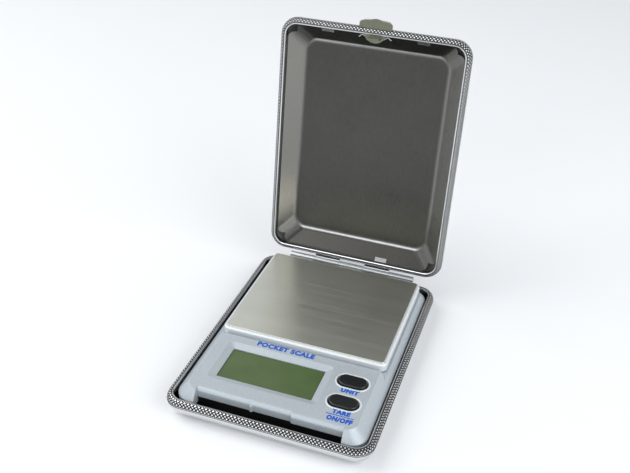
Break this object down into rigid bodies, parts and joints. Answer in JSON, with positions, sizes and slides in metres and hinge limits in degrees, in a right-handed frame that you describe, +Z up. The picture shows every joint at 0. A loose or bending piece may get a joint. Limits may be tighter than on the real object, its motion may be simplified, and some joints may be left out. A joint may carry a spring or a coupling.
{
  "type": "pocket gram scale",
  "caption": "Pocket digital gram scale in a hinged knurled metal case, with a display, two keys and a brushed weighing plate.",
  "frame": {"origin": "centre of the base's flat underside", "axes": "+X to the right, +Y towards the lid's hinge, +Z up; the scale stands on its underside with the lid open"},
  "size_m": [0.076, 0.1218, 0.1126],
  "materials": {
    "polished_steel": "polished",
    "knurled_rim": "bright knurled plating",
    "brushed_liner": "fine brushed",
    "brushed_plate": "brushed along its length",
    "spring_steel": "bright wire",
    "silver_plastic": "silver-filled, satin",
    "pale_plastic": "pale silver, satin",
    "black_plastic": "moulded, matt",
    "black_key": "satin",
    "black_felt": "needled",
    "grey_foam": "closed-cell foam",
    "zinc_screw": "zinc plated",
    "black_screw": "black oxide",
    "display_cell": "olive liquid-crystal cell",
    "reflector_film": "diffuse film",
    "contact_rubber": "layered contact strip",
    "circuit_board": "solder mask",
    "black_resin": "cured drop",
    "tinned_parts": "tinned ends",
    "nickel_cell": "nickel plated",
    "sprung_brass": "sprung strip",
    "cell_alloy": "milled",
    "blue_ink": "pad-printed ink on the deck",
    "white_coating": "soft sealant",
    "lead_cover": "insulated leads"
  },
  "bodies": {
    "base": {"base_shell": "polished_steel", "base_rim": "knurled_rim", "base_hinge_knuckles": "polished_steel", "hinge_pin": "spring_steel", "clasp_keeper": "polished_steel", "felt_pad": "black_felt", "foam_pads": "grey_foam", "housing_bottom": "black_plastic", "housing_top": "silver_plastic", "battery_door": "black_plastic", "housing_screws": "zinc_screw", "display_glass": "display_cell", "display_reflector": "reflector_film", "display_frame": "black_plastic", "zebra_strip": "contact_rubber", "key_switches": "black_plastic", "main_board": "circuit_board", "board_screws": "black_screw", "chip_blob": "black_resin", "board_parts": "tinned_parts", "coin_cells": "nickel_cell", "battery_contacts": "sprung_brass", "load_cell": "cell_alloy", "gauge_coating": "white_coating", "load_cell_screws": "zinc_screw", "overload_stop": "zinc_screw", "load_cell_leads": "lead_cover"},
    "lid": {"lid_shell": "polished_steel", "lid_rim": "knurled_rim", "lid_liner": "brushed_liner", "liner_clips": "polished_steel", "lid_hinge_knuckles": "polished_steel", "clasp_spring": "spring_steel"},
    "clasp": {"clasp_tab": "polished_steel"},
    "platform": {"platform_carrier": "pale_plastic", "platform_plate": "brushed_plate", "platform_screws": "zinc_screw"},
    "unit_button": {"unit_key": "black_key", "unit_plunger": "black_plastic"},
    "tare_button": {"tare_key": "black_key", "tare_plunger": "black_plastic"}
  },
  "joints": [
    {"name": "lid_hinge", "type": "hinge", "parent": "base", "child": "lid", "pos_m": [0, 0.0516, 0.0086], "axis": [1, 0, 0], "range_deg": [0, 97]},
    {"name": "clasp_press", "type": "slide", "parent": "lid", "child": "clasp", "axis": [0, -0.1219, -0.9925], "range_m": [0, 0.0008], "stiffness_N_per_m": 1500, "deforming": ["clasp_spring"]},
    {"name": "platform_press", "type": "slide", "parent": "base", "child": "platform", "axis": [0, 0, -1], "range_m": [0, 0.0003], "stiffness_N_per_m": 15000, "deforming": ["load_cell"]},
    {"name": "unit_press", "type": "slide", "parent": "base", "child": "unit_button", "axis": [0, 0, -1], "range_m": [0, 0.0005], "stiffness_N_per_m": 800},
    {"name": "tare_press", "type": "slide", "parent": "base", "child": "tare_button", "axis": [0, 0, -1], "range_m": [0, 0.0005], "stiffness_N_per_m": 800}
  ]
}
